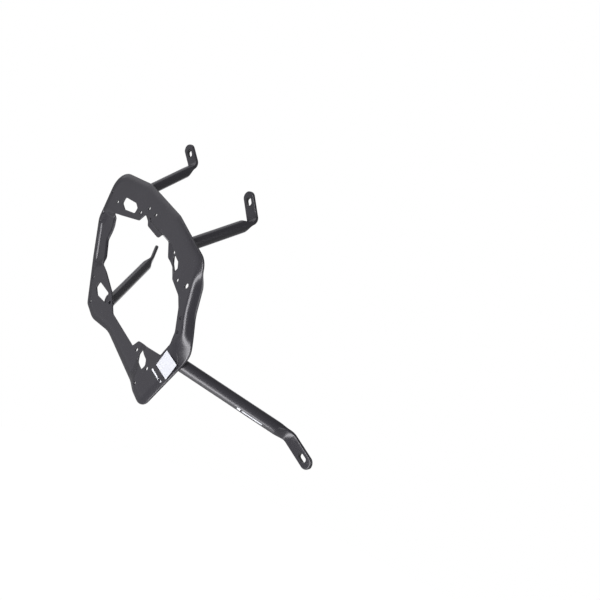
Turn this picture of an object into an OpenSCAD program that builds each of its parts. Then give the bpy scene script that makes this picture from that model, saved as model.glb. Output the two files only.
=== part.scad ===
// Pannier frame for one side of a motorcycle: a pressed ring plate that carries the case,
// and four welded tube struts with flattened, slotted ends that reach in to the machine.
// +X points inboard, -Y forward, +Z up along the plate. The origin is the centre of the
// large bolt hole in the front web, on the outer face.

/* [Plate] */
// Thickness of the sheet
sheet_t = 3; // [2:0.25:4]
// Depth that the front rail is folded back
front_fold = 12; // [8:0.5:14]
// Width of that fold, seen square on
front_fold_run = 10; // [8:0.5:13]
// Depth of the rolled rim on the other sides
rim_drop = 4; // [2:0.5:6]
// Width of the rolled rim
rim_run = 9; // [6:0.5:12]
// Height that the front half stands proud of the rear half
front_rise = 6; // [3:0.5:8]
// Depth of the channel in the rear rail
channel_depth = 5; // [3:0.5:7]
// Width of the raised band outside the channel
channel_band = 9; // [7:0.5:11]

/* [Openings] */
// Length of a slotted window
window_l = 46; // [38:1:48]
// Width of a slotted window
window_w = 19; // [14:0.5:21]
// Diameter of the small bolt holes
hole_d = 6; // [4.5:0.5:8]
// Diameter of the large bolt hole in the front web
lock_hole_d = 8.5; // [7:0.5:10]

/* [Struts] */
// Diameter of the strut tube
tube_d = 18; // [15:0.5:20]
// Front strut tube diameter
front_tube_d = 21; // [18:0.5:24]
// Thickness of a flattened end
tab_t = 7; // [5:0.5:8]
// Width of a flattened end
tab_w = 21; // [19:0.5:26]
// Width of the slot in a flattened end
slot_w = 8.5; // [7:0.5:10]
// Length of that slot
slot_l = 16; // [12:0.5:18]
// Distance from the end of the tab to the middle of its slot
slot_inset = 19; // [15:0.5:22]
// Size of the weld bead round a strut's root
weld_r = 2.8; // [2:0.2:4.5]

/* [Small pieces] */
// Length of the adhesive label
label_l = 36; // [30:1:38]
// Width of the label
label_w = 29; // [24:1:31]
// Thickness of the label
label_t = 0.4; // [0.2:0.1:0.8]
// Thickness of the nut plate behind the centre lug
nut_plate_t = 5; // [4:0.5:8]

/* [Hidden] */

black_coat = "#2b2c2f";
label_white = "#f2f2f0";
// Height of every cut above and below the sheet, and the side of the block that trims a strut
cut_reach = 30;
trim_side = 160;
// Clearance between the back of the sheet and what is fixed to it
seat = 0.3;

// Every place on the plate is [u, v]: u runs forward and v up, from the middle of the ring.
// n is the height outboard of the rear half's face.
origin_uv = [121, 32];

// Corners of the rim and, corner for corner, of the line inside it to which the sheet is drawn
rim_corners = [[-171, 190, 38], [-72, 177, 50], [38, 136, 60], [138, 77, 38], [151, -8, 90],
               [177, -75, 14], [115, -169, 20], [-40, -79, 60], [-95, -69, 40], [-123, -49, 14],
               [-142, -3, 40], [-156, 31, 60], [-181, 98, 40], [-180, 110, 70], [-179, 117, 70]];
core_corners = [[-106, 100, 3], [-52, 92, 5], [0, 66, 5], [60, 30, 5], [98, -12, 9],
                [106, -62, 3], [64, -64, 3], [-34, -30, 6], [-58, 0, 4], [-80, 14, 3],
                [-100, 24, 4], [-113, 50, 5], [-124, 84, 25], [-121, 103, 14], [-119, 108, 1.5]];
rim_arc_steps = 4;
rim_step = 11;

// Opening inside the ring, with its pads, notches and lug
opening_corners = [[-139, 112, 4], [-63, 111, 4], [-52, 124, 3], [-41, 114, 5], [-37, 106, 5],
                   [-4, 92, 4], [4, 99, 3], [25, 91, 4], [36, 66, 6], [62, 49, 8], [82, 35, 8], [110, 14, 14],
                   [121, -4, 16], [133, -40, 14], [132, -60, 6], [120, -81, 3], [50, -74, 4],
                   [39, -85, 4], [-40, -49, 8], [-64, -16, 5], [-98, 12, 20],
                   [-121, 27, 20], [-138, 66, 16], [-136, 94, 14]];

// Windows: centre, turn in the plate, lift of the front end, and share of the full length
windows = [[-101, 132.5, -9.5, 0, 1], [67, 63, -33, 25, 1], [79, -98, -31, 18, 0.74], [-87, -22, -21, 0, 1]];
// The window's outline is a slot with two opposite corners cut off
window_corners = [[-0.5, 0.42, 0.2], [0.28, 0.42, 0.25], [0.5, 0.1, 0.15],
                  [0.48, -0.42, 0.2], [-0.2, -0.58, 0.25], [-0.5, -0.18, 0.2]];

// Small bolt holes, each with its own place
bolt_holes = [[-139, 133], [-65, 125], [-45, 135], [-21, 127], [45, 78], [95, 36],
              [53, -88], [100, -108], [84, -136], [-129, -3], [-58, -34], [-112, -43]];
// Small blind dimples, each with its distance from the rim
dimples = [[134, -17, 20], [139, -39, 20], [-163, 147, 12], [-169, 108, 10], [-170, 93, 8]];
dimple_d = 5;
dimple_deep = 2;
// The threaded hole in the lug, in front of the nut plate, and the plate's turn, size and thin floor
nut_hole = [-33, 117];
nut_plate_turn = -22;
nut_plate_size = [18, 13, 3];
nut_plate_floor = 1.5;
// Middle and turn of the label
label_at = [142, -91];
label_turn = -24;

// Struts: root on the plate, bend, end of the tab and the tab's cross direction, as [u, v, n],
// then the tube's diameter and how far the tab lies off the tube's middle
struts = [[[-84, 157], [-99, 242, -96], [-129, 276, -92], [23, 6, -3], tube_d, 4],
          [[75.7, 88.2], [79, 171, -115], [47, 219, -110], [18, 8, -4], front_tube_d, 0],
          [[-64, -35], [-159, 61, -126], [-184, 89, -146], [5, 7, 3.5], tube_d, 0],
          [[142, -79], [301, -128, -133], [352, -159, -142], [19, 15, -2], front_tube_d, 0]];
squash_len = 18;
bend_reach = 6;
// A power below 1 turns the tube's ellipse into a bar with rounded edges
squash_power = 0.55;
// The squashed end starts this much inside the tube's skin, and laps this far into the tube
seam = 0.1;
lap = 2;
tube_sides = 24;

// Small helpers for ramps and vectors
function ramp(x) = let (t = min(1, max(0, x))) t * t * (3 - 2 * t);
function unit(a) = a / norm(a);
function mix(a, b, t) = a + (b - a) * t;

// One rounded corner of an outline as points on its arc, then points along the side that follows
function corner_arc(a, b, c, r, steps) =
    let (p = [b[0], b[1]],
         to_a = unit([a[0], a[1]] - p), to_c = unit([c[0], c[1]] - p),
         half = acos(max(-1, min(1, to_a * to_c))) / 2,
         reach = min(r / tan(half), 0.48 * min(norm([a[0], a[1]] - p), norm([c[0], c[1]] - p))),
         radius = reach * tan(half),
         centre = p + unit(to_a + to_c) * radius / sin(half),
         start = p + to_a * reach - centre, end = p + to_c * reach - centre,
         turn = acos(max(-1, min(1, unit(start) * unit(end)))))
    [for (i = [0 : steps])
        let (t = i / steps) centre + (start * sin((1 - t) * turn) + end * sin(t * turn)) / sin(turn)];

function outline(corners, steps) =
    let (n = len(corners))
    [for (i = [0 : n - 1])
        each corner_arc(corners[(i + n - 1) % n], corners[i], corners[(i + 1) % n], corners[i][2], steps)];

// The rim and the inner line get the same number of points, so that they pair up
function paired_path(corners, guide, steps, gap) =
    let (n = len(corners))
    [for (i = [0 : n - 1])
        let (j = (i + 1) % n, k = (i + 2) % n,
             arc = corner_arc(corners[(i + n - 1) % n], corners[i], corners[j], corners[i][2], steps),
             next = corner_arc(corners[i], corners[j], corners[k], corners[j][2], steps),
             span = norm([guide[i][0] - guide[j][0], guide[i][1] - guide[j][1]]),
             parts = max(1, ceil(span / gap / 1.3)))
        each concat(arc, [for (s = [1 : 1 : parts - 1]) mix(arc[steps], next[0], s / parts)])];

// Height of the sheet's face before the rim and the channel are formed: it rises from the rear
// half to the front half, over a long stretch of the top rail and a short one of the lower rail
upper_rise = [-90, 100];
lower_rise = [56, 86];
function between(x, span) = ramp((x - span[0]) / (span[1] - span[0]));
function rail_level(u, v) = front_rise * between(u, v > 0 ? upper_rise : lower_rise);
// The lug and the front upper pad drop behind a fold along the top rail
fold_line = [[-60, 132], [-44, 124], [-6, 108], [17, 100], [42, 91], [62, 80], [70, 72], [84, 50], [96, 32]];
pad_levels = [[-60, 0], [-42, -2], [-10, -4], [20, -5], [44, -9], [54, -8], [83, 6], [120, 6]];
fold_w = 6;
function pad_level(u) = lookup(u, pad_levels);
function formed_level(u, v) =
    let (inside = (v > 20 && u > -60) ? ramp((lookup(u, fold_line) - v) / fold_w) : 0)
    mix(rail_level(u, v), min(rail_level(u, v), pad_level(u)), inside);

// The rim is rolled back, and folded back further along the front rail
front_from_u = 60;
front_bottom = [-64, -38];
front_top = [66, 36];
function front_part(u, v) = u > front_from_u ? between(v, front_bottom) * between(v, front_top) : 0;
function rim_shape(d, u, v) =
    let (f = front_part(u, v), drop = mix(rim_drop, front_fold, f), run = mix(rim_run, front_fold_run, f),
         x = max(0, 1 - d / run), bend = mix(1, 0.45, f))
    -drop * (x < bend ? x * x / (2 * bend) : x - bend / 2) / (1 - bend / 2);

// The rear rail is a shallow channel between its outer band and a turned-back inner lip
lip_drop = 3;
lip_at = 29;
channel_wall = 4.5;
channel_to_u = -70;
// Where the channel fades out at each end, read along v at u = channel_mid_u, with the ends' slants
channel_mid_u = -150;
channel_top = [115, 108];
channel_top_slant = -0.1;
channel_bottom = [8, 26];
channel_bottom_slant = 0.5;
function channel_shape(d, u, v) =
    let (off = u - channel_mid_u,
         here = u < channel_to_u ? between(v - channel_top_slant * off, channel_top)
                                   * between(v - channel_bottom_slant * off, channel_bottom) : 0)
    -here * (channel_depth * ramp((d - channel_band) / channel_wall)
             + lip_drop * ramp((d - lip_at) / channel_wall));

function face_level(p, d) = formed_level(p[0], p[1]) + rim_shape(d, p[0], p[1]) + channel_shape(d, p[0], p[1]);

// Distance from the rim to the fold under the top rail, or to the lip of the rear channel
function fold_distance(rim, inward, width) =
    let (under = [for (d = [30 : 1 : width - 8])
                      let (p = rim + inward * d)
                      if (p[1] > 20 && p[0] > -60 && p[0] < 96 && lookup(p[0], fold_line) > p[1]) d])
    len(under) > 0 ? under[0] : min(lip_at, width * 0.6);

near_rows = [0, 3, 6, 9, 13];

function row_distances(fold, width) =
    concat(near_rows, [mix(near_rows[4], fold, 0.5)],
           [for (i = [0 : 2]) fold + i * fold_w / 2], [mix(fold + fold_w, width, 0.5), width]);

function face_row(rim, core) =
    let (way = core - rim, width = norm(way), inward = way / width)
    [for (d = row_distances(fold_distance(rim, inward, width), width))
        let (p = rim + inward * d) [p[0], p[1], face_level(p, d)]];

// The back of the sheet lies one thickness behind its face, square to it in the section
function back_row(row) =
    let (n = len(row))
    [for (i = [0 : n - 1])
        let (a = row[max(0, i - 1)], b = row[min(n - 1, i + 1)], along = unit(b - a),
             flat = unit([along[0], along[1], 0]),
             run = along * flat, rise = along[2])
        row[i] - sheet_t * (run * [0, 0, 1] - rise * flat)];

// A closed band: each station is one loop of points, and the loops join in a ring
module ring_of_loops(loops) {
    n = len(loops);
    m = len(loops[0]);
    points = [for (loop = loops) each loop];
    faces = [for (i = [0 : n - 1]) for (j = [0 : m - 1])
        let (a = i * m + j, b = i * m + (j + 1) % m,
             c = ((i + 1) % n) * m + (j + 1) % m, d = ((i + 1) % n) * m + j)
        each [[a, c, b], [a, d, c]]];
    polyhedron(points, faces, convexity = 6);
}

// A closed rod: the loops join in a row, and its two ends are capped
module row_of_loops(loops) {
    n = len(loops);
    m = len(loops[0]);
    points = [for (loop = loops) each loop];
    sides = [for (i = [0 : n - 2]) for (j = [0 : m - 1])
        let (a = i * m + j, b = i * m + (j + 1) % m, c = (i + 1) * m + (j + 1) % m, d = (i + 1) * m + j)
        each [[a, c, b], [a, d, c]]];
    first = [for (j = [0 : m - 1]) j];
    last = [for (j = [m - 1 : -1 : 0]) (n - 1) * m + j];
    polyhedron(points, concat(sides, [first, last]), convexity = 4);
}

// From the plate's [u, v, n] to the part's own axes
module on_part() {
    translate([0, origin_uv[0], -origin_uv[1]])
        rotate([90, 0, -90])
            translate([0, 0, -front_rise])
                children();
}

module pressed_ring() {
    rim = paired_path(rim_corners, rim_corners, rim_arc_steps, rim_step);
    core = paired_path(core_corners, rim_corners, rim_arc_steps, rim_step);
    rows = [for (i = [0 : len(rim) - 1]) face_row(rim[i], core[i])];
    ring_of_loops([for (row = rows)
        let (back = back_row(row))
        concat(row, [for (j = [len(back) - 1 : -1 : 0]) back[j]])]);
}

module window_outline(share) {
    polygon(outline([for (c = window_corners) [c[0] * window_l * share, c[1] * window_w, c[2] * window_w]], 4));
}

module plate_cuts() {
    translate([0, 0, -cut_reach])
        linear_extrude(2 * cut_reach)
            polygon(outline(opening_corners, 4));
    for (w = windows)
        translate([w[0], w[1], formed_level(w[0], w[1])])
            rotate([0, 0, w[2]])
                rotate([0, -w[3], 0])
                    translate([0, 0, -cut_reach])
                        linear_extrude(2 * cut_reach)
                            window_outline(w[4]);
    for (h = concat(bolt_holes, [nut_hole]))
        translate([h[0], h[1], -cut_reach])
            cylinder(d = hole_d, h = 2 * cut_reach, $fn = 32);
    for (h = dimples)
        translate([h[0], h[1], face_level(h, h[2]) - dimple_deep])
            cylinder(d = dimple_d, h = cut_reach, $fn = 24);
    translate([origin_uv[0], origin_uv[1], -cut_reach])
        cylinder(d = lock_hole_d, h = 2 * cut_reach, $fn = 40);
}

module carrier_plate() {
    color(black_coat)
        on_part()
            difference() {
                pressed_ring();
                plate_cuts();
            }
}

// Slope of the sheet along u, in degrees, for whatever lies flat against it
slope_reach = 6;
function slope(u, v) =
    atan((formed_level(u + slope_reach, v) - formed_level(u - slope_reach, v)) / (2 * slope_reach));

// Puts children on the sheet at [u, v], with +Z square to it and level 0 on its face
module on_face(p) {
    translate([p[0], p[1], formed_level(p[0], p[1])])
        rotate([0, -slope(p[0], p[1]), 0])
            children();
}

// Middle of a strut's root, at the back of the sheet
function tube_start(s) = [s[0][0], s[0][1], formed_level(s[0][0], s[0][1]) - sheet_t - seat];
// The tab's cross direction, square to any given way
function across_of(s, way) = unit(s[3] - way * (s[3] * way));
// Where the tube's middle line ends, beside the bend of the tab
function tube_end(s) =
    let (way = unit(s[1] - tube_start(s)))
    s[1] + cross(way, across_of(s, way)) * s[5];
function tube_way(s) = unit(tube_end(s) - tube_start(s));
function tab_way(s) = unit(s[2] - s[1]);

// Turns +Z to a direction
module point_along(way) {
    rotate([0, acos(way[2]), atan2(way[1], way[0])])
        children();
}

// Ring of a squashed tube: round at t = 0 and a flat bar with rounded edges at t = 1
function squashed_loop(centre, across, thick, w, h, t) =
    let (power = mix(1, squash_power, t))
    [for (i = [0 : tube_sides - 1])
        let (a = 360 * i / tube_sides, c = cos(a), s = sin(a))
        centre + across * sign(c) * pow(abs(c), power) * w / 2 + thick * sign(s) * pow(abs(s), power) * h / 2];

// The end of a strut from the round tube through the squash and the bend to the tab's round tip
function strut_end_loops(s) =
    let (way = tube_way(s), flat_way = tab_way(s), d = s[4],
         across = across_of(s, flat_way), tab_normal = cross(flat_way, across),
         tube_across = across_of(s, way), tube_normal = cross(way, tube_across),
         squash_start = tube_end(s) - way * (bend_reach + squash_len))
    concat(
        [squashed_loop(squash_start - way * lap, tube_across, tube_normal, d - lap / 3, d - lap / 3, 0)],
        [for (t = [0 : 0.2 : 1])
            let (middle = mix(tube_end(s), s[1], ramp(t)) - way * (bend_reach + squash_len * (1 - t) - seam))
            squashed_loop(middle, tube_across, tube_normal,
                          mix(d, tab_w, ramp(t)) - seam, mix(d, tab_t, ramp(t)) - seam, ramp(t))],
        [for (t = [0.25, 0.5, 0.75])
            let (p = mix(mix(s[1] - way * bend_reach, s[1], t), mix(s[1], s[1] + flat_way * bend_reach, t), t))
            squashed_loop(p, unit(mix(tube_across, across, t)), unit(mix(tube_normal, tab_normal, t)),
                          tab_w, tab_t, 1)],
        [squashed_loop(s[1] + flat_way * bend_reach, across, tab_normal, tab_w, tab_t, 1)],
        [for (a = [0 : 15 : 75])
            squashed_loop(s[2] - flat_way * (tab_w / 2) * (1 - sin(a)), across, tab_normal,
                          tab_w * cos(a), tab_t, 1)],
        [squashed_loop(s[2], across, tab_normal, tab_w * 0.1, tab_t * 0.9, 1)]);

// The straight round stretch, started this far behind the sheet's back so that it can be trimmed to it
root_spare = 16;
module strut_tube(s) {
    way = tube_way(s);
    translate(tube_start(s) - way * root_spare)
        point_along(way)
            cylinder(d = s[4], h = norm(tube_end(s) - tube_start(s)) - bend_reach - squash_len + root_spare,
                     $fn = tube_sides * 2);
}

module slot_cutter(s) {
    way = tab_way(s);
    across = across_of(s, way);
    normal = cross(way, across);
    middle = s[2] - way * slot_inset;
    multmatrix([[way[0], across[0], normal[0], middle[0]],
                [way[1], across[1], normal[1], middle[1]],
                [way[2], across[2], normal[2], middle[2]],
                [0, 0, 0, 1]])
        translate([0, 0, -tab_t * 2])
            linear_extrude(tab_t * 4) {
                for (x = [-1, 1])
                    translate([x * (slot_l - slot_w) / 2, 0])
                        circle(d = slot_w, $fn = 32);
                square([slot_l - slot_w, slot_w], center = true);
            }
}

// Everything outboard of the back of the sheet at a strut's root
module sheet_side(s) {
    on_face(s[0])
        translate([0, 0, trim_side / 2 - sheet_t - seat])
            cube(trim_side, center = true);
}

module strut(s) {
    color(black_coat)
        on_part()
            difference() {
                union() {
                    strut_tube(s);
                    row_of_loops(strut_end_loops(s));
                }
                sheet_side(s);
                slot_cutter(s);
            }
}

module upper_rear_strut() {
    strut(struts[0]);
}

module upper_front_strut() {
    strut(struts[1]);
}

module lower_rear_strut() {
    strut(struts[2]);
}

module lower_front_strut() {
    strut(struts[3]);
}

// Fillet bead round a tube: at each angle it spans from the back of the sheet to the tube's side
weld_steps = 36;
weld_climb = 1.3;
weld_swell = 0.6;
module weld(s) {
    way = tube_way(s);
    tilt = slope(s[0][0], s[0][1]);
    normal = [-sin(tilt), 0, cos(tilt)];
    side = unit(cross(way, normal));
    top = cross(side, way);
    loops = [for (i = [0 : weld_steps - 1])
        let (a = 360 * i / weld_steps,
             out = side * cos(a) + top * sin(a),
             root = tube_start(s) + (out - way * (out * normal) / (way * normal)) * s[4] / 2,
             flat = unit(out - normal * (out * normal)) * weld_r,
             up = way * weld_r * weld_climb)
        [root, root + flat, root + (flat + up) * weld_swell, root + up]];
    color(black_coat)
        on_part()
            ring_of_loops(loops);
}

module upper_rear_weld() {
    weld(struts[0]);
}

module upper_front_weld() {
    weld(struts[1]);
}

module lower_rear_weld() {
    weld(struts[2]);
}

module lower_front_weld() {
    weld(struts[3]);
}

module rounded_block(l, w, h, r) {
    linear_extrude(h)
        polygon(outline([[-l / 2, w / 2, r], [l / 2, w / 2, r], [l / 2, -w / 2, r], [-l / 2, -w / 2, r]], 6));
}

// Nut plate behind the lug, with a blind thread toward the outer face
module nut_plate() {
    reach = nut_plate_size[0] / 2;
    rise = pad_level(nut_hole[0] + reach) - pad_level(nut_hole[0] - reach);
    color(black_coat)
        on_part()
            translate([nut_hole[0], nut_hole[1], pad_level(nut_hole[0])])
                rotate([0, -atan(rise / (2 * reach)), 0])
                    rotate([0, 0, nut_plate_turn])
                        translate([0, 0, -sheet_t - seat - nut_plate_t])
                            difference() {
                                rounded_block(nut_plate_size[0], nut_plate_size[1], nut_plate_t,
                                              nut_plate_size[2]);
                                translate([0, 0, nut_plate_floor])
                                    cylinder(d = hole_d - 1, h = nut_plate_t, $fn = 32);
                            }
}

module label() {
    color(label_white)
        on_part()
            on_face(label_at)
                rotate([0, 0, label_turn])
                    rounded_block(label_l, label_w, label_t, 1);
}

carrier_plate();
upper_rear_strut();
upper_front_strut();
lower_rear_strut();
lower_front_strut();
upper_rear_weld();
upper_front_weld();
lower_rear_weld();
lower_front_weld();
nut_plate();
label();
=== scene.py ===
import bpy
import bmesh
import math
import numpy as np
from mathutils import Matrix, Vector
from mathutils.geometry import delaunay_2d_cdt


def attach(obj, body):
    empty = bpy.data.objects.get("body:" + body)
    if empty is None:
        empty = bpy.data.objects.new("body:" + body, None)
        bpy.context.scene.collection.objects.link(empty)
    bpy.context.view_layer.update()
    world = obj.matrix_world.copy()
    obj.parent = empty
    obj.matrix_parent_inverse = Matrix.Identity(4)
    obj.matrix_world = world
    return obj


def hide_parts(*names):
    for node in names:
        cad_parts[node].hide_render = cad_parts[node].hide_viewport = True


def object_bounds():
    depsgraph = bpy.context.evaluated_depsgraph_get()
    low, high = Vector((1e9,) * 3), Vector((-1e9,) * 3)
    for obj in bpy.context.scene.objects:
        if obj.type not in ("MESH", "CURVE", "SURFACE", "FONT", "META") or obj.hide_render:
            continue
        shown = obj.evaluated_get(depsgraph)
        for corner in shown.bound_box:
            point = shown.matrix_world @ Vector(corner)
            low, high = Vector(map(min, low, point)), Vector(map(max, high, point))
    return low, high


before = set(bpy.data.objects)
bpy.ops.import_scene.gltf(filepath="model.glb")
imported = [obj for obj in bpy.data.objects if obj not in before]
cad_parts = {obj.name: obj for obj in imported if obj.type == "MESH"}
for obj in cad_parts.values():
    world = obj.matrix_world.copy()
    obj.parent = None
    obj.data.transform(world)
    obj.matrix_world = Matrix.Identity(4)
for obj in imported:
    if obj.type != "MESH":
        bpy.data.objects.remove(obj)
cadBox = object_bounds()
print("frame loaded,", len(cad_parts), "nodes")

# Plate coordinates: u forward, v up the plate, n outboard, all in millimetres.
# The part's own axes are +X inboard, -Y forward, +Z up, in metres.
origin = {"u": 121.0, "v": 32.0, "n": 6.0}


def toPart(points):
    p = np.atleast_2d(np.asarray(points, float))
    return np.stack([origin["n"] - p[:, 2], origin["u"] - p[:, 0], p[:, 1] - origin["v"]], 1) / 1000.0


def ramp(x):
    t = np.clip(x, 0.0, 1.0)
    return t * t * (3 - 2 * t)


def between(x, span):
    # rises softly from 0 to 1 as x goes from the span's first value to its second
    return ramp((x - span[0]) / (span[1] - span[0]))


def mix(a, b, t):
    return a + (b - a) * t


def unit(a):
    a = np.asarray(a, float)
    return a / np.linalg.norm(a)


# Materials

def hexColour(code):
    def linear(c):
        return c / 12.92 if c <= 0.04045 else ((c + 0.055) / 1.055) ** 2.4
    return tuple(linear(int(code[i:i + 2], 16) / 255) for i in (1, 3, 5)) + (1.0,)


def newMaterial(name):
    m = bpy.data.materials.new(name)
    m.use_nodes = True
    m.node_tree.nodes.clear()
    return m


def addNode(tree, kind, settings=None, inputs=None):
    n = tree.nodes.new(kind)
    for key, value in (settings or {}).items():
        setattr(n, key, value)
    for key, value in (inputs or {}).items():
        if isinstance(value, bpy.types.NodeSocket):
            tree.links.new(value, n.inputs[key])
        else:
            n.inputs[key].default_value = value
    return n


coat = {
    "colour": "#27262b",       # black powder coat, cured satin
    "worn": "#2c2b30",         # slightly paler where the film is thin
    "patchSize": 45.0,         # how broad those thin patches are, in millimetres
    "roughness": 0.26,
    "roughLess": 0.01, "roughMore": 0.02,
    "ior": 1.65,
    "peelSize": 1.6,           # orange peel, drawn coarser than the real 0.8 mm so that it shows
    "peelDepth": 0.000003,
    "peelStrength": 0.02,
    "grainSize": 0.35,         # powder grain, in millimetres
    "grainShare": 0.1,
}


def makePowderCoat():
    m = newMaterial("powderCoatedSteel")   # a soft sheen with a faint orange peel
    t = m.node_tree
    where = addNode(t, "ShaderNodeTexCoord").outputs["Object"]
    peel = addNode(t, "ShaderNodeTexNoise", {}, {
        "Vector": where, "Scale": 1000 / coat["peelSize"], "Detail": 2.0, "Roughness": 0.45}).outputs["Fac"]
    grain = addNode(t, "ShaderNodeTexNoise", {}, {
        "Vector": where, "Scale": 1000 / coat["grainSize"], "Detail": 1.0}).outputs["Fac"]
    patches = addNode(t, "ShaderNodeTexNoise", {}, {
        "Vector": where, "Scale": 1000 / coat["patchSize"], "Detail": 3.0}).outputs["Fac"]
    tint = addNode(t, "ShaderNodeMix", {"data_type": "RGBA"}, {
        "Factor": patches, 6: hexColour(coat["colour"]), 7: hexColour(coat["worn"])}).outputs[2]
    rough = addNode(t, "ShaderNodeMapRange", {}, {
        "Value": grain, "From Min": 0.3, "From Max": 0.7,
        "To Min": coat["roughness"] - coat["roughLess"],
        "To Max": coat["roughness"] + coat["roughMore"]}).outputs["Result"]
    height = addNode(t, "ShaderNodeMath", {"operation": "MULTIPLY_ADD"}, {
        0: grain, 1: coat["grainShare"], 2: peel}).outputs["Value"]
    bump = addNode(t, "ShaderNodeBump", {}, {
        "Strength": coat["peelStrength"], "Distance": coat["peelDepth"],
        "Height": height}).outputs["Normal"]
    shader = addNode(t, "ShaderNodeBsdfPrincipled", {}, {
        "Base Color": tint, "Roughness": rough, "Normal": bump, "IOR": coat["ior"]})
    addNode(t, "ShaderNodeOutputMaterial", {}, {"Surface": shader.outputs["BSDF"]})
    return m


film = {
    "colour": "#d4d6da", "shade": "#cbcdd2",
    "roughness": 0.35,
    "waveSize": 9.0,           # how far apart the film's slight waves are, in millimetres
    "waveDepth": 0.0001, "waveStrength": 0.2,
}


def makeLabelFilm():
    m = newMaterial("adhesiveFilm")   # white polyester film: bright, with a slight unevenness
    t = m.node_tree
    where = addNode(t, "ShaderNodeTexCoord").outputs["Object"]
    wave = addNode(t, "ShaderNodeTexNoise", {}, {
        "Vector": where, "Scale": 1000 / film["waveSize"], "Detail": 2.0}).outputs["Fac"]
    tint = addNode(t, "ShaderNodeMix", {"data_type": "RGBA"}, {
        "Factor": wave, 6: hexColour(film["colour"]), 7: hexColour(film["shade"])}).outputs[2]
    bump = addNode(t, "ShaderNodeBump", {}, {
        "Strength": film["waveStrength"], "Distance": film["waveDepth"], "Height": wave}).outputs["Normal"]
    shader = addNode(t, "ShaderNodeBsdfPrincipled", {}, {
        "Base Color": tint, "Roughness": film["roughness"], "Normal": bump})
    addNode(t, "ShaderNodeOutputMaterial", {}, {"Surface": shader.outputs["BSDF"]})
    return m


ink = {"colour": "#eceef0", "thin": "#d5d8dc", "speckSize": 0.8, "roughness": 0.6}


def makeInk():
    m = newMaterial("whiteScreenInk")   # matt print, thin in specks
    t = m.node_tree
    where = addNode(t, "ShaderNodeTexCoord").outputs["Object"]
    specks = addNode(t, "ShaderNodeTexNoise", {}, {
        "Vector": where, "Scale": 1000 / ink["speckSize"]}).outputs["Fac"]
    tint = addNode(t, "ShaderNodeMix", {"data_type": "RGBA"}, {
        "Factor": specks, 6: hexColour(ink["colour"]), 7: hexColour(ink["thin"])}).outputs[2]
    shader = addNode(t, "ShaderNodeBsdfPrincipled", {}, {"Base Color": tint, "Roughness": ink["roughness"]})
    addNode(t, "ShaderNodeOutputMaterial", {}, {"Surface": shader.outputs["BSDF"]})
    return m


powderCoat = makePowderCoat()
labelFilm = makeLabelFilm()
screenInk = makeInk()
print("materials made")


# Outlines with rounded corners, the same construction as the pressed blank's drawing

def cornerArc(a, b, c, r, steps):
    p = np.array(b[:2], float)
    toA = unit(np.array(a[:2]) - p)
    toC = unit(np.array(c[:2]) - p)
    half = math.acos(max(-1, min(1, float(toA @ toC)))) / 2
    # an arc too wide for its corner stops just short of the middle of the shorter side
    reach = min(r / math.tan(half), 0.48 * min(math.dist(a[:2], b[:2]), math.dist(c[:2], b[:2])))
    radius = reach * math.tan(half)
    centre = p + unit(toA + toC) * radius / math.sin(half)
    start = p + toA * reach - centre
    end = p + toC * reach - centre
    turn = math.acos(max(-1, min(1, float(unit(start) @ unit(end)))))
    share = np.linspace(0, 1, steps + 1)[:, None]
    return centre + (start * np.sin((1 - share) * turn) + end * np.sin(share * turn)) / math.sin(turn)


def outline(corners, spacing, arcSteps=24):
    n = len(corners)
    arcs = [cornerArc(corners[i - 1], corners[i], corners[(i + 1) % n], corners[i][2], arcSteps)
            for i in range(n)]
    return evenly(np.concatenate(arcs), spacing)


def evenly(line, spacing):
    closed = np.vstack([line, line[:1]])
    along = np.concatenate([[0], np.cumsum(np.linalg.norm(np.diff(closed, axis=0), axis=1))])
    count = max(12, int(round(along[-1] / spacing)))
    at = np.arange(count) * along[-1] / count
    return np.stack([np.interp(at, along, closed[:, k]) for k in range(2)], 1)


def windingArea(line):
    x, y = line[:, 0], line[:, 1]
    return 0.5 * float(np.sum(x * np.roll(y, -1) - np.roll(x, -1) * y))


def inset(line, distance, hole):
    # moves an outline into the sheet: inward on the rim, outward round a hole
    ahead = np.roll(line, -1, 0) - np.roll(line, 1, 0)
    side = np.stack([-ahead[:, 1], ahead[:, 0]], 1)
    side /= np.linalg.norm(side, axis=1)[:, None]
    inward = side if windingArea(line) > 0 else -side
    return line + (-inward if hole else inward) * distance


def inside(points, line):
    x, y = points[:, 0], points[:, 1]
    hit = np.zeros(len(points), bool)
    for (x0, y0), (x1, y1) in zip(line, np.roll(line, -1, 0)):
        if y0 != y1:
            hit ^= ((y0 > y) != (y1 > y)) & (x < (x1 - x0) * (y - y0) / (y1 - y0) + x0)
    return hit


def distanceTo(points, line):
    best = np.full(len(points), 1e9)
    for p, q in zip(line, np.roll(line, -1, 0)):
        d = q - p
        t = np.clip(((points - p) @ d) / (d @ d), 0, 1)
        best = np.minimum(best, np.linalg.norm(points - (p + t[:, None] * d), axis=1))
    return best


def circleLine(c, r, count):
    a = np.arange(count) * 2 * math.pi / count
    return np.stack([c[0] + r * np.cos(a), c[1] + r * np.sin(a)], 1)


# The pressed ring plate

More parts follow.
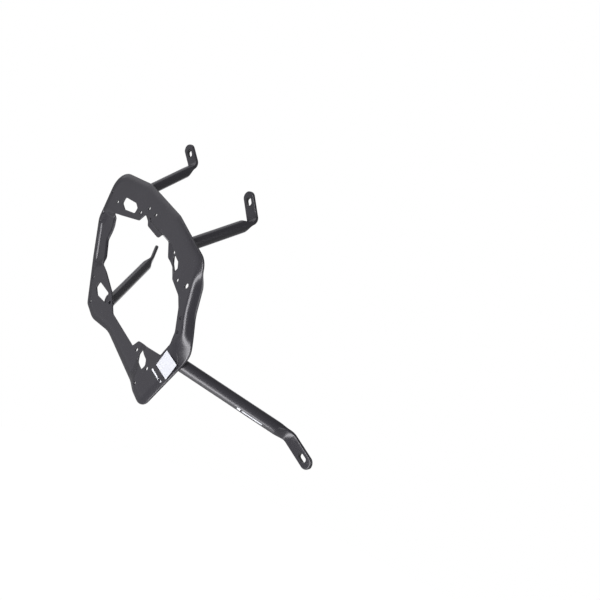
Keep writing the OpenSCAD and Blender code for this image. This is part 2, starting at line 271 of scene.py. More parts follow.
plate = {
    "thick": 3.0, "rise": 6.0,
    "edgeRound": 0.7, "holeRound": 0.35, "seat": 0.3,
    # corners, each with its radius
    "rim": [[-171, 190, 38], [-72, 177, 50], [38, 136, 60], [138, 77, 38], [151, -8, 90],
            [177, -75, 48], [115, -169, 20], [-40, -79, 60], [-95, -69, 40], [-123, -49, 14],
            [-142, -3, 40], [-156, 31, 60], [-181, 98, 40], [-180, 110, 70], [-179, 117, 70]],
    "opening": [[-139, 112, 4], [-63, 111, 4], [-52, 124, 3], [-41, 114, 5], [-37, 106, 5],
                [-4, 92, 4], [4, 99, 3], [25, 91, 4], [36, 66, 6], [62, 49, 8], [82, 35, 8],
                [110, 14, 14], [121, -4, 16], [133, -40, 14], [132, -60, 6], [120, -81, 3],
                [50, -74, 4], [39, -85, 4], [-40, -49, 8], [-64, -16, 5],
                [-98, 12, 20], [-121, 27, 20], [-138, 66, 16], [-136, 94, 14]],
    # middle, turn, how far the window is tipped from square on, and its length
    "windows": [[-101, 132.5, -9.5, 0, 1], [67, 63, -33, 25, 1], [79, -98, -31, 18, 0.74],
                [-87, -22, -21, 0, 1]],
    "windowSize": [46, 19],
    "windowCorners": [[-0.5, 0.42, 0.2], [0.28, 0.42, 0.25], [0.5, 0.1, 0.15],
                      [0.48, -0.42, 0.2], [-0.2, -0.58, 0.25], [-0.5, -0.18, 0.2]],
    "boltHoles": [[-139, 133], [-65, 125], [-45, 135], [-21, 127], [45, 78], [95, 36],
                  [53, -88], [100, -108], [84, -136], [-129, -3], [-58, -34], [-112, -43], [-33, 117]],
    "boltHole": 6.0, "lockHole": 8.5,
    "dimples": [[134, -17], [139, -39], [-163, 147], [-169, 108], [-170, 93]],
    "dimple": 5.0, "dimpleDeep": 2.0, "dimpleWall": 0.9,
}

# How the sheet is pressed. A pair of u or v values is where a form starts and where it is whole.
pressed = {
    "upperRise": [-90, 100], "lowerRise": [56, 86],
    "padFromU": -60, "padFromV": 20, "padWall": 6.0,
    "padLine": [[-60, 132], [-44, 124], [-6, 108], [17, 100], [42, 91], [62, 80], [70, 72],
                [84, 50], [96, 32]],
    "padLevels": [[-60, 0], [-42, -2], [-10, -4], [20, -5], [44, -9], [54, -8], [83, 6], [120, 6]],
    "rimDrop": 4.0, "rimRun": 17.0,
    "foldFromU": 60, "foldBottom": [-96, -60], "foldTop": [62, 34],
    "foldDrop": 12.0, "foldRun": 15.0, "foldBend": 0.72,
    "flareBottom": [-104, -80], "flareTop": [-36, -62], "flareRun": 42.0, "flareDrop": 0.94,
    "channelToU": -70, "channelTop": [118, 108], "channelTopSlant": 0.1,
    "channelBottom": [0, 28], "channelBottomSlant": 0.5,
    "channelBand": 10.0, "channelDepth": 3.2, "channelReach": 24.0,
    "crest": [102, 86],        # above this the channel's wall and floor soften
    "channelWall": [20.0, 5.0], "channelFall": [0.07, 0.14],
    "lipDrop": 2.6, "lipWide": 1.9,
}

# Spacing of the plate's mesh in millimetres, and how many sides its round holes have
mesh = {
    "rim": 3.0, "opening": 2.4, "window": 1.6, "boltHole": 28, "lockHole": 36,
    "rimRows": [2.2, 19.5, 1.5], "lipRows": [2.9, 4.1, 5.4], "lipFromRim": 3.0,
    "grid": 2.6, "gridFromRim": 20.3, "gridFromOpening": 6.5,
    "dimpleRings": [0.9, 1.7, 2.3, 2.9], "gridFromDimple": 3.9,
    "cell": 0.7, "fromEdge": 1.6, "fromHole": 1.1, "slope": 0.25,
}

rimLine = outline(plate["rim"], mesh["rim"])
openingLine = outline(plate["opening"], mesh["opening"])


def formedLevel(u, v):
    # the webs, and the lug and pad that are sunk below them
    share = np.where(v > 0, between(u, pressed["upperRise"]), between(u, pressed["lowerRise"]))
    rail = plate["rise"] * share
    lineV = np.interp(u, *np.array(pressed["padLine"]).T)
    pad = np.interp(u, *np.array(pressed["padLevels"]).T)
    here = (v > pressed["padFromV"]) & (u > pressed["padFromU"])
    under = np.where(here, ramp((lineV - v) / pressed["padWall"]), 0)
    return mix(rail, np.minimum(rail, pad), under)


def rimShape(d, u, v):
    # rolled back all round, folded deep along the front rail, and flared below the fold
    front = u > pressed["foldFromU"]
    fold = np.where(front, between(v, pressed["foldBottom"]) * between(v, pressed["foldTop"]), 0)
    flare = np.where(front, between(v, pressed["flareBottom"]) * between(v, pressed["flareTop"]), 0)
    drop = mix(pressed["rimDrop"], pressed["foldDrop"], fold) * mix(1, pressed["flareDrop"], flare)
    run = mix(mix(pressed["rimRun"], pressed["foldRun"], fold), pressed["flareRun"], flare)
    bend = mix(1, pressed["foldBend"], fold * (1 - flare))
    x = np.maximum(0, 1 - d / run)
    return -drop * np.where(x < bend, x * x / (2 * bend), x - bend / 2) / (1 - bend / 2)


def channelShape(d, fromOpening, u, v):
    # a trough behind its outer band, whose floor falls toward the lip round the opening
    top = between(v + pressed["channelTopSlant"] * (u + 180), pressed["channelTop"])
    bottom = between(v - pressed["channelBottomSlant"] * (u + 150), pressed["channelBottom"])
    here = np.where(u < pressed["channelToU"], top * bottom, 0)
    sharp = between(v, pressed["crest"])
    within = np.clip(d - pressed["channelBand"], 0, pressed["channelReach"])
    wall = pressed["channelDepth"] * ramp(within / mix(*pressed["channelWall"], sharp))
    floor = within * mix(*pressed["channelFall"], sharp)
    lip = pressed["lipDrop"] * np.clip(1 - fromOpening / pressed["lipWide"], 0, 1)
    return -here * (wall + floor + lip)


def dimpleShape(p):
    low = np.zeros(len(p))
    wall = plate["dimpleWall"]
    for c in plate["dimples"]:
        r = np.linalg.norm(p - np.array(c), axis=1)
        low -= plate["dimpleDeep"] * ramp((plate["dimple"] / 2 + wall / 3 - r) / wall)
    return low


def faceLevel(p):
    d = distanceTo(p, rimLine)
    u, v = p[:, 0], p[:, 1]
    channel = channelShape(d, distanceTo(p, openingLine), u, v)
    return formedLevel(u, v) + rimShape(d, u, v) + channel + dimpleShape(p)


def windowLine(w, spacing):
    length, width = plate["windowSize"]
    corners = [[x * length * w[4], y * width, r * width] for x, y, r in plate["windowCorners"]]
    shape = outline(corners, spacing)
    shape[:, 0] *= math.cos(math.radians(w[3]))
    a = math.radians(w[2])
    turn = np.array([[math.cos(a), math.sin(a)], [-math.sin(a), math.cos(a)]])
    return shape @ turn + np.array(w[:2])


def meshObject(name, verts, faces, material, smoothAngle=35):
    data = bpy.data.meshes.new(name)
    data.from_pydata([tuple(v) for v in verts], [], [tuple(int(i) for i in f) for f in faces])
    data.validate()
    data.update()
    o = bpy.data.objects.new(name, data)
    bpy.context.scene.collection.objects.link(o)
    data.materials.append(material)
    data.shade_smooth()
    data.set_sharp_from_angle(angle=math.radians(smoothAngle))
    return o


def pointOutward(o):
    # turns every face outward, drops loose points, and counts the edges that aren't closed
    bm = bmesh.new()
    bm.from_mesh(o.data)
    bmesh.ops.delete(bm, geom=[v for v in bm.verts if not v.link_faces], context="VERTS")
    bmesh.ops.recalc_face_normals(bm, faces=bm.faces)
    openEdges = sum(1 for e in bm.edges if len(e.link_faces) != 2)
    bm.to_mesh(o.data)
    bm.free()
    return openEdges


def sheetEdges():
    # every cut edge of the sheet: its line, whether it runs round a hole, and how far it is rounded
    edges = [(rimLine, False, plate["edgeRound"]), (openingLine, True, plate["edgeRound"])]
    edges += [(windowLine(w, mesh["window"]), True, plate["edgeRound"]) for w in plate["windows"]]
    edges += [(circleLine(c, plate["boltHole"] / 2, mesh["boltHole"]), True, plate["holeRound"])
              for c in plate["boltHoles"]]
    lock = circleLine((origin["u"], origin["v"]), plate["lockHole"] / 2, mesh["lockHole"])
    return edges + [(lock, True, plate["holeRound"])]


def fillPoints(edges):
    # rows that follow the rim and the opening, an even grid between, and rings at the dimples
    rows = []
    for d in np.arange(*mesh["rimRows"]):
        row = inset(rimLine, d, False)
        rows.append(row[distanceTo(row, rimLine) > d - 0.1])   # at a sharp corner the rows would cross
    for d in [pressed["lipWide"]] + mesh["lipRows"]:
        row = inset(openingLine, d, True)
        clear = (distanceTo(row, openingLine) > d - 0.1) & (distanceTo(row, rimLine) > mesh["lipFromRim"])
        rows.append(row[clear])
    step = mesh["grid"]
    us, vs = np.meshgrid(np.arange(-190, 190, step), np.arange(-180, 200, step * 0.866))
    us[1::2] += step / 2
    grid = np.stack([us.ravel(), vs.ravel()], 1)
    grid = grid[inside(grid, rimLine)]
    grid = grid[distanceTo(grid, rimLine) > mesh["gridFromRim"]]
    grid = grid[distanceTo(grid, openingLine) > mesh["gridFromOpening"]]
    fill = np.concatenate(rows + [grid])
    for c in plate["dimples"]:
        fill = fill[np.linalg.norm(fill - np.array(c), axis=1) > mesh["gridFromDimple"]]
    rings = [circleLine(c, r, 16) for c in plate["dimples"] for r in mesh["dimpleRings"]]
    fill = np.concatenate([fill] + rings)
    # one point per cell keeps the triangles from shrinking to slivers
    first = np.unique(np.round(fill / mesh["cell"]), axis=0, return_index=True)[1]
    fill = fill[np.sort(first)]
    for line, hole, r in edges:
        if hole:
            fill = fill[~inside(fill, line)]
        clear = mesh["fromEdge"] if r == plate["edgeRound"] else mesh["fromHole"]
        fill = fill[distanceTo(fill, line) > clear]
    return fill


def flatPattern(edges):
    # the flat sheet's triangles, how far a rounded edge lets each point down, and the edge loops
    points, drops, bars, starts = [], [], [], []
    for line, hole, r in edges:
        starts.append(len(points))
        for angle in (0, 30, 60, 90):
            a = math.radians(angle)
            ring = inset(line, r * (1 - math.cos(a)), hole)
            start = len(points)
            points += list(ring)
            drops += [r * (1 - math.sin(a))] * len(ring)
            bars += [(start + i, start + (i + 1) % len(ring)) for i in range(len(ring))]
    fill = fillPoints(edges)
    points += list(fill)
    drops += [0.0] * len(fill)
    print("plate: triangulating", len(points), "points")

    found = delaunay_2d_cdt([Vector((float(p[0]), float(p[1]))) for p in points], bars, [], 0, 1e-5)
    flat = np.array([tuple(v) for v in found[0]])
    drop = np.array([drops[given[0]] if given else 0.0 for given in found[3]])
    indexOf = {k: i for i, given in enumerate(found[3]) for k in given}
    tris = np.array([f for f in found[2] if len(f) == 3])
    middle = flat[tris].mean(1)
    keep = inside(middle, rimLine)
    for line, hole, r in edges[1:]:
        keep &= ~inside(middle, line)
    side = flat[tris[:, 1:]] - flat[tris[:, :1]]
    turned = np.cross(side[:, 0], side[:, 1])
    keep &= np.abs(turned) > 1e-3   # straight stretches leave flat slivers
    tris = np.where(turned[:, None] > 0, tris, tris[:, ::-1])[keep]

    loops = []
    for (line, hole, r), start in zip(edges, starts):
        loop = [indexOf[start + i] for i in range(len(line))]
        loops.append(loop[::-1] if (windingArea(line) > 0) == hole else loop)
    return flat, drop, tris, loops


def makePlate():
    flat, drop, tris, loops = flatPattern(sheetEdges())

    # lift the flat pattern to the pressed shape, with the sheet's thickness square to it
    e = mesh["slope"]
    du = (faceLevel(flat + [e, 0]) - faceLevel(flat - [e, 0])) / (2 * e)
    dv = (faceLevel(flat + [0, e]) - faceLevel(flat - [0, e])) / (2 * e)
    normal = np.stack([-du, -dv, np.ones(len(du))], 1)
    normal /= np.linalg.norm(normal, axis=1)[:, None]
    skin = np.column_stack([flat, faceLevel(flat)])
    front = skin - normal * drop[:, None]
    back = skin - normal * (plate["thick"] - drop)[:, None]
    n = len(flat)
    faces = [tuple(t) for t in tris] + [tuple(t[::-1] + n) for t in tris]
    for loop in loops:
        faces += [(b, a, a + n, b + n) for a, b in zip(loop, loop[1:] + loop[:1])]
    o = meshObject("ringPlate", toPart(np.vstack([front, back])), faces, powderCoat, 40)
    openEdges = pointOutward(o)
    print("plate:", len(o.data.polygons), "faces,", openEdges, "open edges")
    return o


ringPlate = makePlate()
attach(ringPlate, "root")
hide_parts("carrier_plate")


# Struts

struts = {
    "tabWide": 21.0, "tabThick": 7.0, "bend": 6.0, "squash": 18.0,
    "slotWide": 8.5, "slotLong": 16.0, "slotInset": 19.0,
    "sides": 72, "loopSpacing": 12.0, "squashSteps": 14, "bendSteps": 8, "tabSteps": 4,
    "tipStep": 7.5,            # degrees between the loops of the round tip
    "flatSides": 2.2,          # how soon a squashed section turns from its round edge to its flat side
    # root on the plate, bend, end of the tab, the tab's cross direction, tube size, tab's offset
    "places": {
        "upper_rear": [[-84, 157], [-99, 242, -96], [-129, 276, -92], [23, 6, -3], 18, 4],
        "upper_front": [[75.7, 88.2], [79, 171, -115], [47, 219, -110], [18, 8, -4], 21, 0],
        "lower_rear": [[-64, -35], [-159, 61, -126], [-184, 89, -146], [5, 7, 3.5], 18, 0],
        "lower_front": [[142, -79], [301, -128, -133], [352, -159, -142], [19, 15, -2], 21, 0],
    },
}


def levelAt(u, v):
    return float(formedLevel(np.array([float(u)]), np.array([float(v)]))[0])


def squareTo(way, across):
    return unit(across - way * (across @ way))


def strutLines(s):
    # where the strut starts, bends and ends, and the directions of its tube, tab and sheet
    u, v = s[0]
    start = np.array([u, v, levelAt(u, v) - plate["thick"] - plate["seat"]], float)
    tilt = math.atan((levelAt(u + 6, v) - levelAt(u - 6, v)) / 12)
    bend, tip, cross = (np.array(p, float) for p in s[1:4])
    first = unit(bend - start)
    end = bend + np.cross(first, squareTo(first, cross)) * s[5]
    way = unit(end - start)
    tabWay = unit(tip - bend)
    return {"start": start, "end": end, "bend": bend, "tip": tip, "way": way, "tabWay": tabWay,
            "across": squareTo(tabWay, cross), "tubeAcross": squareTo(way, cross), "tube": float(s[4]),
            "sheet": np.array([-math.sin(tilt), 0, math.cos(tilt)])}


def squashedLoop(centre, across, thick, wide, high):
    a = np.arange(struts["sides"]) * 2 * math.pi / struts["sides"]
    c, s = np.cos(a), np.sin(a)
    x = c * high / 2 + np.clip(c * struts["flatSides"], -1, 1) * max(0, wide - high) / 2
    y = s * high / 2
    return centre + np.outer(x, across) + np.outer(y, thick)


def tubeLoops(g):
    # the root is trimmed to the slope of the sheet's back, then the tube runs straight and is squashed
    start, end, bend, way, across, tube = (g[k] for k in (
        "start", "end", "bend", "way", "tubeAcross", "tube"))
    normal = np.cross(way, across)
    root = squashedLoop(start, across, normal, tube, tube)
    root = root - np.outer((root - start) @ g["sheet"] / (way @ g["sheet"]), way)
    straight = np.linalg.norm(end - start) - struts["bend"] - struts["squash"]
    first = max(float(((root - start) @ way).max()) + 2, 4)
    loops = [root]
    for d in np.linspace(first, straight, max(3, int(straight / struts["loopSpacing"]))):
        loops.append(squashedLoop(start + way * d, across, normal, tube, tube))
    for t in np.linspace(0, 1, struts["squashSteps"] + 1)[1:]:
        k = float(ramp(t))
        middle = mix(end, bend, k) - way * (struts["bend"] + struts["squash"] * (1 - t))
        loops.append(squashedLoop(middle, across, normal, mix(tube, struts["tabWide"], k),
                                  mix(tube, struts["tabThick"], k)))
    return loops


def tabLoops(g):
    # round the bend, along the flat tab, and over its round tip, whose edge eases toward the end
    bend, tip, way, tabWay, across = (g[k] for k in ("bend", "tip", "way", "tabWay", "across"))
    tubeNormal = np.cross(way, g["tubeAcross"])
    normal = np.cross(tabWay, across)
    reach, wide, thick = struts["bend"], struts["tabWide"], struts["tabThick"]
    loops = []
    for t in np.linspace(0, 1, struts["bendSteps"] + 1)[1:]:
        p = mix(mix(bend - way * reach, bend, t), mix(bend, bend + tabWay * reach, t), t)
        loops.append(squashedLoop(p, unit(mix(g["tubeAcross"], across, t)),
                                  unit(mix(tubeNormal, normal, t)), wide, thick))
    for t in np.linspace(0, 1, struts["tabSteps"] + 1)[1:]:
        p = mix(bend + tabWay * reach, tip - tabWay * wide / 2, t)
        loops.append(squashedLoop(p, across, normal, wide, thick))
    for angle in np.arange(struts["tipStep"], 84, struts["tipStep"]):
        a = math.radians(angle)
        p = tip - tabWay * wide / 2 * (1 - math.sin(a))
        loops.append(squashedLoop(p, across, normal, max(wide * math.cos(a), thick * 0.8),
                                  thick * (1 - 0.25 * ramp((angle - 60) / 24))))
    loops.append(squashedLoop(tip - tabWay * 0.02, across, normal, 2.2, 2.2))
    return loops


def makeStrut(name, s):
    g = strutLines(s)
    loops = tubeLoops(g) + tabLoops(g)
    verts = np.vstack(loops)
    m = struts["sides"]
    faces = [tuple(range(m - 1, -1, -1)), tuple(range(len(verts) - m, len(verts)))]
    for i in range(len(loops) - 1):
        for j in range(m):
            k = (j + 1) % m
            faces.append((i * m + j, i * m + k, (i + 1) * m + k, (i + 1) * m + j))
    o = meshObject(name + "Strut", toPart(verts), faces, powderCoat, 40)
    cutSlot(o, g["tip"] - g["tabWay"] * struts["slotInset"], g["tabWay"], g["across"])
    return o


def cutSlot(o, middle, along, across):
    normal = np.cross(along, across)
    r = struts["slotWide"] / 2
    straight = (struts["slotLong"] - struts["slotWide"]) / 2
    ring = []
    for sign in (1, -1):
        for a in np.radians(np.linspace(-90, 90, 17)):
            ring.append(middle + along * sign * (straight + r * math.cos(a))
                        + across * sign * r * math.sin(a))
    ring = np.array(ring)
    n = len(ring)
    depth = struts["tabThick"] * 1.5
    verts = np.vstack([ring - normal * depth, ring + normal * depth])
    faces = [tuple(range(n)), tuple(range(2 * n - 1, n - 1, -1))]
    faces += [(i, (i + 1) % n, (i + 1) % n + n, i + n) for i in range(n)]
    cutter = meshObject("slotCutter", toPart(verts), faces, powderCoat)
    pointOutward(o)
    pointOutward(cutter)
    cut = o.modifiers.new("slot", "BOOLEAN")
    cut.operation = "DIFFERENCE"
    cut.solver = "EXACT"
    cut.object = cutter
    settle(o)
    bpy.data.objects.remove(cutter)


def settle(o, smoothAngle=40):
    # replaces the object's mesh with its evaluated one and drops the modifiers
    graph = bpy.context.evaluated_depsgraph_get()
    data = bpy.data.meshes.new_from_object(o.evaluated_get(graph))
    o.modifiers.clear()
    o.data = data
    data.shade_smooth()
    data.set_sharp_from_angle(angle=math.radians(smoothAngle))


for name, s in struts["places"].items():
    strut = makeStrut(name, s)
    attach(strut, "root")
    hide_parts(name + "_strut")
print("struts made")


# Weld beads

weld = {
    "reach": 2.8, "up": 3.6, "sink": 0.3, "sides": 96,
    # the bead's section, as shares of its reach and of its height
    "section": [[1, 0], [0.8, 0.42], [0.48, 0.78], [0, 1]],
    "ripple": 2.0, "rippleSize": 1.6, "rippleAt": [0.42, 0.36],
}


def weldPath(s):
    # where the tube meets the sheet, all round, with the directions along the sheet and up the tube
    g = strutLines(s)
    start, way, normal = g["start"], g["way"], g["sheet"]
    side = unit(np.cross(way, normal))
    top = np.cross(side, way)
    path = []
    for a in np.arange(weld["sides"]) * 2 * math.pi / weld["sides"]:
        out = side * math.cos(a) + top * math.sin(a)
        root = start + (out - way * (out @ normal) / (way @ normal)) * g["tube"] / 2
        path.append((root, unit(out - normal * (out @ normal)), way))
    return path


def rippleTree():
    t = bpy.data.node_groups.new("weldRipples", "GeometryNodeTree")
    t.interface.new_socket("Geometry", in_out="INPUT", socket_type="NodeSocketGeometry")
    t.interface.new_socket("Pitch", in_out="INPUT", socket_type="NodeSocketFloat")
    t.interface.new_socket("Size", in_out="INPUT", socket_type="NodeSocketFloat")
    t.interface.new_socket("Geometry", in_out="OUTPUT", socket_type="NodeSocketGeometry")
    given = addNode(t, "NodeGroupInput")
    spaced = addNode(t, "GeometryNodeResampleCurve", {"mode": "LENGTH"}, {
        "Curve": given.outputs["Geometry"], "Length": given.outputs["Pitch"]})
    tangent = addNode(t, "GeometryNodeInputTangent").outputs["Tangent"]
    turned = addNode(t, "FunctionNodeAlignRotationToVector", {"axis": "Z"}, {"Vector": tangent})
    lump = addNode(t, "GeometryNodeMeshIcoSphere", {}, {"Radius": given.outputs["Size"], "Subdivisions": 2})
    wobble = addNode(t, "FunctionNodeRandomValue", {"data_type": "FLOAT"}, {2: 0.9, 3: 1.08, "Seed": 7})
    flatten = addNode(t, "ShaderNodeCombineXYZ", {}, {
        "X": wobble.outputs[1], "Y": wobble.outputs[1], "Z": 0.72}).outputs["Vector"]
    placed = addNode(t, "GeometryNodeInstanceOnPoints", {}, {
        "Points": spaced.outputs["Curve"], "Instance": lump.outputs["Mesh"],
        "Rotation": turned.outputs["Rotation"], "Scale": flatten})
    real = addNode(t, "GeometryNodeRealizeInstances", {}, {"Geometry": placed.outputs["Instances"]})
    coated = addNode(t, "GeometryNodeSetMaterial", {}, {
        "Geometry": real.outputs["Geometry"], "Material": powderCoat})
    addNode(t, "NodeGroupOutput", {}, {"Geometry": coated.outputs["Geometry"]})
    return t


def makeRipples(name, path, tree):
    # a mesh of overlapping lumps along the bead
    spine = bpy.data.curves.new(name + "Spine", "CURVE")
    spine.dimensions = "3D"
    line = spine.splines.new("POLY")
    line.points.add(len(path) - 1)
    line.use_cyclic_u = True
    out, up = weld["rippleAt"]
    middle = toPart([root + flat * weld["reach"] * out + way * weld["up"] * up
                     for root, flat, way in path])
    for p, c in zip(line.points, middle):
        p.co = (*c, 1.0)
    ripples = bpy.data.objects.new(name + "Ripples", spine)
    bpy.context.scene.collection.objects.link(ripples)
    mod = ripples.modifiers.new("ripples", "NODES")
    mod.node_group = tree
    ids = {i.name: i.identifier for i in tree.interface.items_tree if i.in_out == "INPUT"}
    mod[ids["Pitch"]] = weld["ripple"] / 1000
    mod[ids["Size"]] = weld["rippleSize"] / 1000
    graph = bpy.context.evaluated_depsgraph_get()
    lumps = bpy.data.meshes.new_from_object(ripples.evaluated_get(graph))
    bpy.data.objects.remove(ripples)
    return lumps


def makeWeld(name, s, tree):
    path = weldPath(s)
    rows = []
    for root, flat, way in path:
        rows.append([root - way * weld["sink"]] + [
            root + flat * weld["reach"] * out + way * weld["up"] * up for out, up in weld["section"]])
    n, k = len(rows), len(rows[0])
    faces = [(i * k + j, i * k + (j + 1) % k, ((i + 1) % n) * k + (j + 1) % k, ((i + 1) % n) * k + j)
             for i in range(n) for j in range(k)]
    bead = meshObject(name + "Weld", toPart(np.array(rows).reshape(-1, 3)), faces, powderCoat, 50)
    pointOutward(bead)
    lumps = makeRipples(name, path, tree)
    bm = bmesh.new()
    bm.from_mesh(bead.data)
    bm.from_mesh(lumps)
    bm.to_mesh(bead.data)
    bm.free()
    for f in bead.data.polygons:
        f.material_index = 0
        f.use_smooth = True
    return bead


ripples = rippleTree()
for name, s in struts["places"].items():
    bead = makeWeld(name, s, ripples)
    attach(bead, "root")
    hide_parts(name + "_weld")
print("weld beads made")


# Small pieces carried over from the frame, and plain printed marks

for node, material in (("nut_plate", powderCoat), ("label", labelFilm)):
    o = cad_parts[node]
    o.data.materials.clear()
    o.data.materials.append(material)


marks = {
    "bars": [[[114.5, -105.5], [131, -113.5], 2.6], [[134.5, -115.5], [140.5, -117.5], 3.0]],
    "proud": 0.12, "sunk": 0.05,
    "tubeDashes": [[126, 132, 4.0], [135, 171, 2.2]],   # start and end along the tube, and width
    "tubeTurn": 33,
}


def makeBars():
    verts, faces = [], []
    for a, b, wide in marks["bars"]:
        a, b = np.array(a, float), np.array(b, float)
        along = unit(b - a)
        side = np.array([-along[1], along[0]]) * wide / 2
        ring = []
        for centre, first in ((b, -90), (a, 90)):
            for w in np.radians(first + np.linspace(0, 180, 9)):
                ring.append(centre + along * math.cos(w) * wide / 2 + side * math.sin(w))
        ring = np.array(ring)
        level = faceLevel(ring)
        start, k = len(verts), len(ring)
        verts += [(*p, h - marks["sunk"]) for p, h in zip(ring, level)]
        verts += [(*p, h + marks["proud"]) for p, h in zip(ring, level)]
        faces += [tuple(range(start + k - 1, start - 1, -1)), tuple(range(start + k, start + 2 * k))]
        faces += [(start + i, start + (i + 1) % k, start + k + (i + 1) % k, start + k + i)
                  for i in range(k)]
    return meshObject("printedMark", toPart(verts), faces, screenInk)


def makeTubeDashes():
    # two thin curved strips that lie on the tube
    g = strutLines(struts["places"]["lower_front"])
    start, way, normal = g["start"], g["way"], g["sheet"]
    out = unit(normal - way * (normal @ way))
    side = np.cross(way, out)
    r = g["tube"] / 2
    rows, cols = 8, 7
    layer = rows * cols
    border = [j for j in range(cols)] + [i * cols + cols - 1 for i in range(1, rows)]
    border += [(rows - 1) * cols + j for j in range(cols - 2, -1, -1)]
    border += [i * cols for i in range(rows - 2, 0, -1)]
    verts, faces = [], []
    for low, high, wide in marks["tubeDashes"]:
        base = len(verts)
        turns = np.radians(marks["tubeTurn"] + np.linspace(-0.5, 0.5, cols) * math.degrees(wide / r))
        for radius in (r - marks["sunk"], r + marks["proud"]):
            for d in np.linspace(low, high, rows):
                for a in turns:
                    verts.append(start + way * d + (out * math.cos(a) + side * math.sin(a)) * radius)
        under = [(base + i * cols + j, base + i * cols + j + 1,
                  base + (i + 1) * cols + j + 1, base + (i + 1) * cols + j)
                 for i in range(rows - 1) for j in range(cols - 1)]
        faces += under + [tuple(q + layer for q in reversed(f)) for f in under]
        faces += [(base + p, base + q, base + q + layer, base + p + layer)
                  for p, q in zip(border, border[1:] + border[:1])]
    o = meshObject("tubeMark", toPart(verts), faces, screenInk)
    pointOutward(o)
    return o


for mark in (makeBars(), makeTubeDashes()):
    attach(mark, "root")
print("small pieces finished")


# Floor, light and camera

studio = {
    "floorDrop": 1.8, "floorReach": 9.0, "floorColour": "#f4f4f4",
    "floorGlow": 1.12,                # bright enough that the floor comes out white in the picture
    "floorSeen": 0.9, "floorShine": 0.2,   # how much of that glow the camera sees, and the frame's gloss
    "down": (0.4695, 0.0, -0.8829),   # straight down in the photograph, as the frame leans there
    "lamps": {   # direction from the frame, width, height and power
        "keyStrip": [(-0.93, -0.20, -0.26), 0.56, 4.2, 56.0],
        "sideBox": [(-0.66, 0.70, 0.05), 1.0, 1.4, 1.5],
        "frontBox": [(-0.01, -1.0, 0.09), 1.1, 1.1, 9.0],
        "highBox": [(-0.20, 0.62, 0.75), 1.5, 1.5, 5.0],
        "farBox": [(0.65, 0.70, 0.10), 1.6, 1.6, 8.0],
        "lowBox": [(-0.22, 0.10, -0.96), 0.8, 0.8, 2.0],
    },
    "lampDistance": 1.6, "lampTint": (0.97, 0.96, 1.0),
    "above": 0.20, "below": 0.26,     # how strongly the room lights the frame from above and below
    "roomBlend": [-0.15, 0.25],
}


def makeFloor():
    z = cadBox[0][2] - studio["floorDrop"]
    r = studio["floorReach"]
    data = bpy.data.meshes.new("floor")
    data.from_pydata([(-r, -r, z), (r, -r, z), (r, r, z), (-r, r, z)], [], [(0, 1, 2, 3)])
    floor = bpy.data.objects.new("floor", data)
    bpy.context.scene.collection.objects.link(floor)
    m = newMaterial("paperSweep")
    t = m.node_tree
    ray = addNode(t, "ShaderNodeLightPath")
    paper = addNode(t, "ShaderNodeBsdfDiffuse", {}, {"Color": hexColour(studio["floorColour"])})
    glow = addNode(t, "ShaderNodeEmission", {}, {"Color": (1, 1, 1, 1), "Strength": studio["floorGlow"]})
    mirrored = addNode(t, "ShaderNodeMath", {"operation": "MULTIPLY"}, {
        0: ray.outputs["Is Glossy Ray"], 1: studio["floorShine"]}).outputs["Value"]
    direct = addNode(t, "ShaderNodeMath", {"operation": "MULTIPLY"}, {
        0: ray.outputs["Is Camera Ray"], 1: studio["floorSeen"]}).outputs["Value"]
    shown = addNode(t, "ShaderNodeMath", {"operation": "MAXIMUM"}, {
        0: direct, 1: mirrored}).outputs["Value"]
    seen = addNode(t, "ShaderNodeMixShader", {}, {
        0: shown, 1: paper.outputs["BSDF"], 2: glow.outputs["Emission"]}).outputs["Shader"]
    addNode(t, "ShaderNodeOutputMaterial", {}, {"Surface": seen})
    data.materials.append(m)


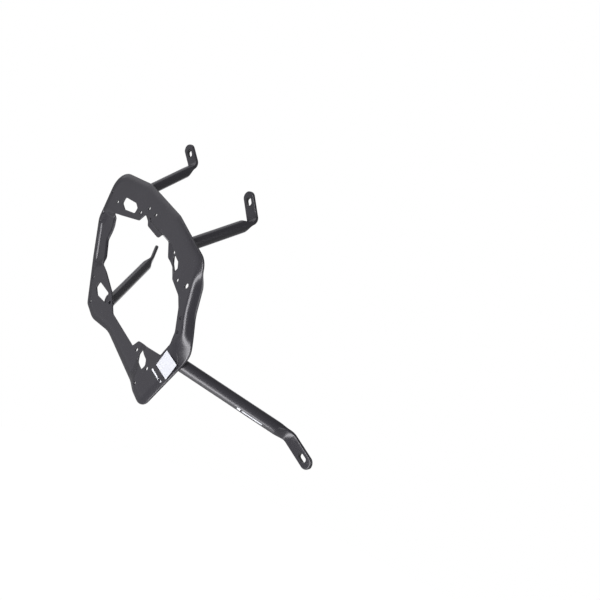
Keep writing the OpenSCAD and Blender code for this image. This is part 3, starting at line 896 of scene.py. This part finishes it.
def makeWorld():
    w = bpy.data.worlds.new("studio")
    bpy.context.scene.world = w
    w.use_nodes = True
    t = w.node_tree
    t.nodes.clear()
    ray = addNode(t, "ShaderNodeLightPath")
    way = addNode(t, "ShaderNodeTexCoord").outputs["Generated"]
    low = addNode(t, "ShaderNodeVectorMath", {"operation": "DOT_PRODUCT"}, {
        0: way, 1: studio["down"]}).outputs["Value"]
    soft = addNode(t, "ShaderNodeMapRange", {}, {
        "Value": low, "From Min": studio["roomBlend"][0], "From Max": studio["roomBlend"][1],
        "To Min": studio["above"], "To Max": studio["below"]}).outputs["Result"]
    light = addNode(t, "ShaderNodeBackground", {}, {"Color": (1, 1, 1, 1), "Strength": soft})
    white = addNode(t, "ShaderNodeBackground", {}, {"Color": (1, 1, 1, 1), "Strength": 1.0})
    seen = addNode(t, "ShaderNodeMixShader", {}, {
        0: ray.outputs["Is Camera Ray"], 1: light.outputs["Background"],
        2: white.outputs["Background"]}).outputs["Shader"]
    addNode(t, "ShaderNodeOutputWorld", {}, {"Surface": seen})


def addLamp(name, way, wide, high, power):
    data = bpy.data.lights.new(name, "AREA")
    data.shape = "RECTANGLE"
    data.size = wide
    data.size_y = high
    data.energy = power
    data.color = studio["lampTint"]
    lamp = bpy.data.objects.new(name, data)
    middle = Vector([(a + b) / 2 for a, b in zip(*cadBox)])
    z = Vector(way).normalized()
    x = -Vector(studio["down"]).cross(z).normalized()
    turn = Matrix((x, z.cross(x), z)).transposed().to_4x4()
    lamp.matrix_world = Matrix.Translation(middle + z * studio["lampDistance"]) @ turn
    lamp.visible_camera = False
    bpy.context.scene.collection.objects.link(lamp)


# The photograph's camera, solved from the pair's mirror symmetry
view = {
    "place": (-0.977, -1.1904, -0.0436),
    "right": (0.6425, -0.6860, 0.3417),
    "forward": (0.7152, 0.6969, 0.0539),
    "lens": 60.0, "sensor": 36.0,
}


def makeCamera():
    data = bpy.data.cameras.new("camera")
    data.sensor_width = view["sensor"]
    data.lens = view["lens"]
    data.clip_start = 0.01
    camera = bpy.data.objects.new("camera", data)
    right = Vector(view["right"]).normalized()
    ahead = Vector(view["forward"])
    ahead = (ahead - right * ahead.dot(right)).normalized()
    turn = Matrix((right, right.cross(ahead), -ahead)).transposed().to_4x4()
    camera.matrix_world = Matrix.Translation(view["place"]) @ turn
    bpy.context.scene.collection.objects.link(camera)
    bpy.context.scene.camera = camera


makeFloor()
makeWorld()
for lampName, (way, wide, high, power) in studio["lamps"].items():
    addLamp(lampName, way, wide, high, power)
makeCamera()
bpy.context.scene.view_settings.view_transform = "Standard"

print("scene done")
